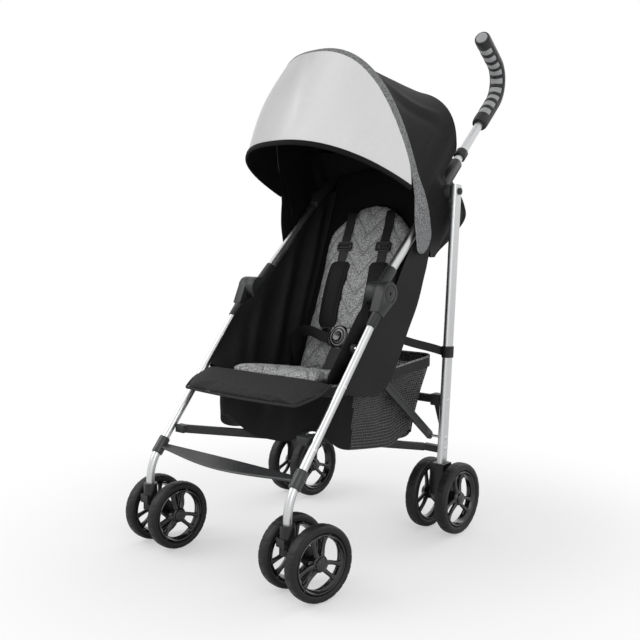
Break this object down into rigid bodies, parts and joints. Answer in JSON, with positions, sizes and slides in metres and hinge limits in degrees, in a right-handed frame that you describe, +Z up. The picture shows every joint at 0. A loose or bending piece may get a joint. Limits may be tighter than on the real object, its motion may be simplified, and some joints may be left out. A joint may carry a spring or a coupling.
{
  "type": "lightweight umbrella buggy",
  "caption": "Folding umbrella pushchair: aluminium side frames, sling seat, footrest flap, canopy with sun visor, mesh basket, hook handles, paired wheels with swivelling fronts.",
  "frame": {"origin": "on the floor, under the middle of the buggy's length and width", "axes": "+Z up; -Y is the way the buggy travels, so its front; +X is the child's left side"},
  "size_m": [0.5101, 0.8008, 1.0817],
  "materials": {
    "satin_aluminium": "satin anodised tube",
    "charcoal_plastic": "fine grained moulding",
    "black_plastic": "satin black moulding",
    "gloss_black": "gloss black moulding",
    "grey_rubber": "soft matt grip",
    "dark_foam_tyre": "dark foam with shallow tread",
    "black_fabric": "plain woven polyester",
    "charcoal_fabric": "coated padded fabric",
    "heather_fabric": "mottled grey quilted fabric",
    "silver_fabric": "silver-white satin fabric",
    "black_mesh": "open knitted mesh"
  },
  "bodies": {
    "upper_frame": {"upper_tube_left": "satin_aluminium", "upper_tube_right": "satin_aluminium", "grip_skin_left": "charcoal_plastic", "grip_skin_right": "charcoal_plastic", "grip_core_left": "grey_rubber", "grip_core_right": "grey_rubber", "upper_bracket_left": "charcoal_plastic", "upper_bracket_right": "charcoal_plastic", "canopy_clip_left": "charcoal_plastic", "canopy_clip_right": "charcoal_plastic", "hinge_upper_left": "charcoal_plastic", "hinge_upper_right": "charcoal_plastic", "side_panel_left": "black_fabric", "side_panel_right": "black_fabric", "seat_cushion": "heather_fabric", "canopy_shell": "black_fabric"},
    "front_frame": {"hinge_lower_left": "charcoal_plastic", "hinge_lower_right": "charcoal_plastic", "front_leg_left": "satin_aluminium", "front_leg_right": "satin_aluminium", "foot_bar": "charcoal_plastic", "calf_flap": "charcoal_fabric"},
    "rear_frame": {"rear_leg_left": "satin_aluminium", "rear_leg_right": "satin_aluminium", "rear_housing_left": "black_plastic", "rear_housing_right": "black_plastic", "rear_crossbar": "charcoal_plastic", "basket": "black_mesh"},
    "side_links": {"side_link_left": "charcoal_plastic", "side_link_right": "charcoal_plastic"},
    "cross_braces": {"cross_brace_left": "charcoal_plastic", "cross_brace_right": "charcoal_plastic"},
    "fold_lever": {"fold_lever": "charcoal_plastic"},
    "brake_pedal_left": {"brake_pedal_left": "black_plastic"},
    "brake_pedal_right": {"brake_pedal_right": "black_plastic"},
    "backrest": {"backrest_pad": "heather_fabric", "back_panel": "black_fabric", "harness": "black_fabric", "buckle": "gloss_black"},
    "buckle_button": {"buckle_button": "gloss_black"},
    "canopy_bow": {"canopy_bow": "heather_fabric"},
    "visor": {"visor": "silver_fabric"},
    "caster_left": {"caster_fork_left": "black_plastic"},
    "caster_right": {"caster_fork_right": "black_plastic"},
    "wheel_front_left_outer": {"hub_front_left_outer": "gloss_black", "tyre_front_left_outer": "dark_foam_tyre"},
    "wheel_front_left_inner": {"hub_front_left_inner": "gloss_black", "tyre_front_left_inner": "dark_foam_tyre"},
    "wheel_front_right_outer": {"hub_front_right_outer": "gloss_black", "tyre_front_right_outer": "dark_foam_tyre"},
    "wheel_front_right_inner": {"hub_front_right_inner": "gloss_black", "tyre_front_right_inner": "dark_foam_tyre"},
    "wheel_rear_left_outer": {"hub_rear_left_outer": "gloss_black", "tyre_rear_left_outer": "dark_foam_tyre"},
    "wheel_rear_left_inner": {"hub_rear_left_inner": "gloss_black", "tyre_rear_left_inner": "dark_foam_tyre"},
    "wheel_rear_right_outer": {"hub_rear_right_outer": "gloss_black", "tyre_rear_right_outer": "dark_foam_tyre"},
    "wheel_rear_right_inner": {"hub_rear_right_inner": "gloss_black", "tyre_rear_right_inner": "dark_foam_tyre"}
  },
  "joints": [
    {"name": "front_fold", "type": "hinge", "parent": "upper_frame", "child": "front_frame", "pos_m": [0, -0.08, 0.518], "axis": [1, 0, 0], "range_deg": [-157.5, 0], "deforming": ["side_panel_left", "side_panel_right", "seat_cushion", "calf_flap", "canopy_shell", "basket"]},
    {"name": "rear_fold", "type": "hinge", "parent": "upper_frame", "child": "rear_frame", "pos_m": [0, 0.142, 0.724], "axis": [1, 0, 0], "range_deg": [-41.3, 0]},
    {"name": "side_link_fold", "type": "hinge", "parent": "rear_frame", "child": "side_links", "pos_m": [0, 0.10394, 0.204], "axis": [1, 0, 0], "range_deg": [-43.8, 0]},
    {"name": "cross_brace_fold", "type": "hinge", "parent": "rear_frame", "child": "cross_braces", "pos_m": [0, 0.10227, 0.1812], "axis": [1, 0, 0], "range_deg": [-67, 0]},
    {"name": "fold_lever_press", "type": "hinge", "parent": "rear_frame", "child": "fold_lever", "pos_m": [0, 0.10972, 0.283], "axis": [1, 0, 0], "range_deg": [-16, 0], "stiffness_Nm_per_rad": 1.2, "springref_deg": 8.59},
    {"name": "brake_press_left", "type": "hinge", "parent": "rear_frame", "child": "brake_pedal_left", "pos_m": [0.207, 0.154, 0.0975], "axis": [1, 0, 0], "range_deg": [-12, 0]},
    {"name": "brake_press_right", "type": "hinge", "parent": "rear_frame", "child": "brake_pedal_right", "pos_m": [-0.207, 0.154, 0.0975], "axis": [1, 0, 0], "range_deg": [-12, 0]},
    {"name": "recline", "type": "hinge", "parent": "upper_frame", "child": "backrest", "pos_m": [0, 0.014, 0.318], "axis": [1, 0, 0], "range_deg": [-30, 0]},
    {"name": "buckle_press", "type": "slide", "parent": "backrest", "child": "buckle_button", "axis": [0, 0.9397, -0.342], "range_m": [0, 0.0018], "stiffness_N_per_m": 250, "springref_m": -0.001},
    {"name": "canopy_fold", "type": "hinge", "parent": "upper_frame", "child": "canopy_bow", "pos_m": [0, 0.059, 0.65], "axis": [1, 0, 0], "range_deg": [-42, 0], "deforming": ["canopy_bow"]},
    {"name": "visor_fold", "type": "hinge", "parent": "canopy_bow", "child": "visor", "pos_m": [0, 0.039, 0.717], "axis": [1, 0, 0], "range_deg": [-38, 0], "deforming": ["visor"]},
    {"name": "caster_swivel_left", "type": "hinge", "parent": "front_frame", "child": "caster_left", "pos_m": [0.1885, -0.363, 0.112], "axis": [0, 0, 1], "continuous": true},
    {"name": "caster_swivel_right", "type": "hinge", "parent": "front_frame", "child": "caster_right", "pos_m": [-0.1885, -0.363, 0.112], "axis": [0, 0, 1], "continuous": true},
    {"name": "roll_front_left_outer", "type": "hinge", "parent": "caster_left", "child": "wheel_front_left_outer", "pos_m": [0.23369, -0.333, 0.068], "axis": [0.982, -0.1891, 0], "continuous": true},
    {"name": "roll_front_left_inner", "type": "hinge", "parent": "caster_left", "child": "wheel_front_left_inner", "pos_m": [0.15768, -0.31837, 0.068], "axis": [0.982, -0.1891, 0], "continuous": true},
    {"name": "roll_front_right_outer", "type": "hinge", "parent": "caster_right", "child": "wheel_front_right_outer", "pos_m": [-0.22488, -0.32277, 0.068], "axis": [0.9982, -0.0593, 0], "continuous": true},
    {"name": "roll_front_right_inner", "type": "hinge", "parent": "caster_right", "child": "wheel_front_right_inner", "pos_m": [-0.14761, -0.32736, 0.068], "axis": [0.9982, -0.0593, 0], "continuous": true},
    {"name": "roll_rear_left_outer", "type": "hinge", "parent": "rear_frame", "child": "wheel_rear_left_outer", "pos_m": [0.239, 0.114, 0.0755], "axis": [1, 0, 0], "continuous": true},
    {"name": "roll_rear_left_inner", "type": "hinge", "parent": "rear_frame", "child": "wheel_rear_left_inner", "pos_m": [0.167, 0.114, 0.0755], "axis": [1, 0, 0], "continuous": true},
    {"name": "roll_rear_right_outer", "type": "hinge", "parent": "rear_frame", "child": "wheel_rear_right_outer", "pos_m": [-0.239, 0.114, 0.0755], "axis": [1, 0, 0], "continuous": true},
    {"name": "roll_rear_right_inner", "type": "hinge", "parent": "rear_frame", "child": "wheel_rear_right_inner", "pos_m": [-0.167, 0.114, 0.0755], "axis": [1, 0, 0], "continuous": true}
  ],
  "couplings": [
    {"joint": "rear_fold", "follows": "front_fold", "ratio": 0.2596},
    {"joint": "side_link_fold", "follows": "front_fold", "ratio": 0.263},
    {"joint": "cross_brace_fold", "follows": "front_fold", "ratio": 0.42}
  ]
}
